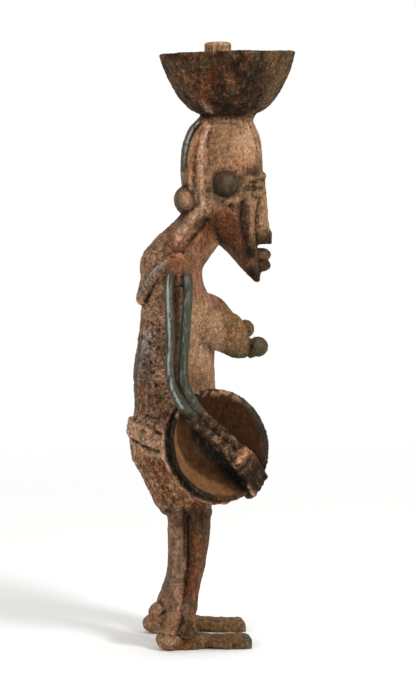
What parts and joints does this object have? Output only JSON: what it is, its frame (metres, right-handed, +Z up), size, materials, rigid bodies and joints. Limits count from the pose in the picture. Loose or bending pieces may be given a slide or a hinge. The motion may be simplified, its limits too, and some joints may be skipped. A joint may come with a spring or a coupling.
{
  "type": "standing bronze female figure with bowls",
  "caption": "Slender cast bronze woman standing with a bowl on the head and a second, outward-facing bowl held at the right hip by a rod-like arm.",
  "frame": {"origin": "centre of the bounding box at the level of the soles", "axes": "+X the way the figure faces, +Y towards its left side, +Z up"},
  "size_m": [0.1208, 0.1196, 0.4323],
  "materials": {
    "bronze": "rough earthy brown patina over cast bronze, worn to dark grey-green metal on the ridges"
  },
  "bodies": {
    "root": {"figure": "bronze"}
  },
  "joints": []
}
